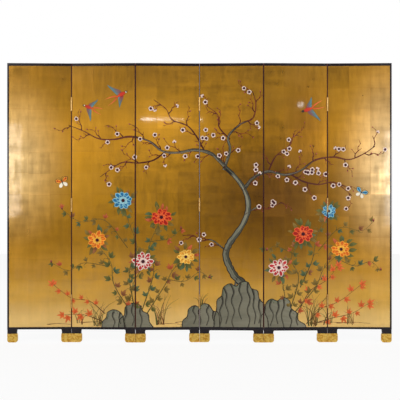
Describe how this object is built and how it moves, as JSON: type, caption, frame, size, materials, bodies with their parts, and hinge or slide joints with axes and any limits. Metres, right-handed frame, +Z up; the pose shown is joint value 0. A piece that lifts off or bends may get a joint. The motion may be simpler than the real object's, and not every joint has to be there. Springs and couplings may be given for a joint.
{
  "type": "folding screen",
  "caption": "Standing folding screen of hinged lacquered panels with gilded fronts, brass butt hinges and brass foot caps; folds flat like an accordion.",
  "frame": {"origin": "on the floor, under the middle of the screen's width and depth", "axes": "+X along the screen to the viewer's right, +Y from the painted front to the back, +Z up"},
  "size_m": [2.519, 0.0364, 1.83],
  "materials": {
    "black_lacquer": "gloss lacquer",
    "gold_leaf": "gold leaf on board",
    "back_lacquer": "satin lacquer",
    "core_wood": "bare",
    "foot_brass": "polished, mottled",
    "hinge_brass": "polished",
    "pin_brass": "drawn"
  },
  "bodies": {
    "panel_1": {"panel_1_left_stile": "black_lacquer", "panel_1_right_stile": "black_lacquer", "panel_1_bottom_rail": "black_lacquer", "panel_1_top_rail": "black_lacquer", "panel_1_core_battens": "core_wood", "panel_1_front_board": "gold_leaf", "panel_1_back_board": "back_lacquer", "panel_1_foot_caps": "foot_brass", "panel_1_hinge_leaves": "hinge_brass", "joint_1_hinge_pins": "pin_brass"},
    "panel_2": {"panel_2_left_stile": "black_lacquer", "panel_2_right_stile": "black_lacquer", "panel_2_bottom_rail": "black_lacquer", "panel_2_top_rail": "black_lacquer", "panel_2_core_battens": "core_wood", "panel_2_front_board": "gold_leaf", "panel_2_back_board": "back_lacquer", "panel_2_foot_caps": "foot_brass", "panel_2_hinge_leaves": "hinge_brass", "joint_2_hinge_pins": "pin_brass"},
    "panel_3": {"panel_3_left_stile": "black_lacquer", "panel_3_right_stile": "black_lacquer", "panel_3_bottom_rail": "black_lacquer", "panel_3_top_rail": "black_lacquer", "panel_3_core_battens": "core_wood", "panel_3_front_board": "gold_leaf", "panel_3_back_board": "back_lacquer", "panel_3_foot_caps": "foot_brass", "panel_3_hinge_leaves": "hinge_brass", "joint_3_hinge_pins": "pin_brass"},
    "panel_4": {"panel_4_left_stile": "black_lacquer", "panel_4_right_stile": "black_lacquer", "panel_4_bottom_rail": "black_lacquer", "panel_4_top_rail": "black_lacquer", "panel_4_core_battens": "core_wood", "panel_4_front_board": "gold_leaf", "panel_4_back_board": "back_lacquer", "panel_4_foot_caps": "foot_brass", "panel_4_hinge_leaves": "hinge_brass", "joint_4_hinge_pins": "pin_brass"},
    "panel_5": {"panel_5_left_stile": "black_lacquer", "panel_5_right_stile": "black_lacquer", "panel_5_bottom_rail": "black_lacquer", "panel_5_top_rail": "black_lacquer", "panel_5_core_battens": "core_wood", "panel_5_front_board": "gold_leaf", "panel_5_back_board": "back_lacquer", "panel_5_foot_caps": "foot_brass", "panel_5_hinge_leaves": "hinge_brass", "joint_5_hinge_pins": "pin_brass"},
    "panel_6": {"panel_6_left_stile": "black_lacquer", "panel_6_right_stile": "black_lacquer", "panel_6_bottom_rail": "black_lacquer", "panel_6_top_rail": "black_lacquer", "panel_6_core_battens": "core_wood", "panel_6_front_board": "gold_leaf", "panel_6_back_board": "back_lacquer", "panel_6_foot_caps": "foot_brass", "panel_6_hinge_leaves": "hinge_brass"}
  },
  "joints": [
    {"name": "hinge_2", "type": "hinge", "parent": "panel_3", "child": "panel_2", "pos_m": [-0.41991, 0.00798, 0.915], "axis": [0, 0, -1], "range_deg": [-4, 176]},
    {"name": "hinge_1", "type": "hinge", "parent": "panel_2", "child": "panel_1", "pos_m": [-0.83983, -0.00798, 0.915], "axis": [0, 0, 1], "range_deg": [-4, 176]},
    {"name": "hinge_3", "type": "hinge", "parent": "panel_3", "child": "panel_4", "pos_m": [0, -0.00798, 0.915], "axis": [0, 0, -1], "range_deg": [-4, 176]},
    {"name": "hinge_4", "type": "hinge", "parent": "panel_4", "child": "panel_5", "pos_m": [0.41991, 0.00798, 0.915], "axis": [0, 0, 1], "range_deg": [-4, 176]},
    {"name": "hinge_5", "type": "hinge", "parent": "panel_5", "child": "panel_6", "pos_m": [0.83983, -0.00798, 0.915], "axis": [0, 0, -1], "range_deg": [-4, 176]}
  ]
}
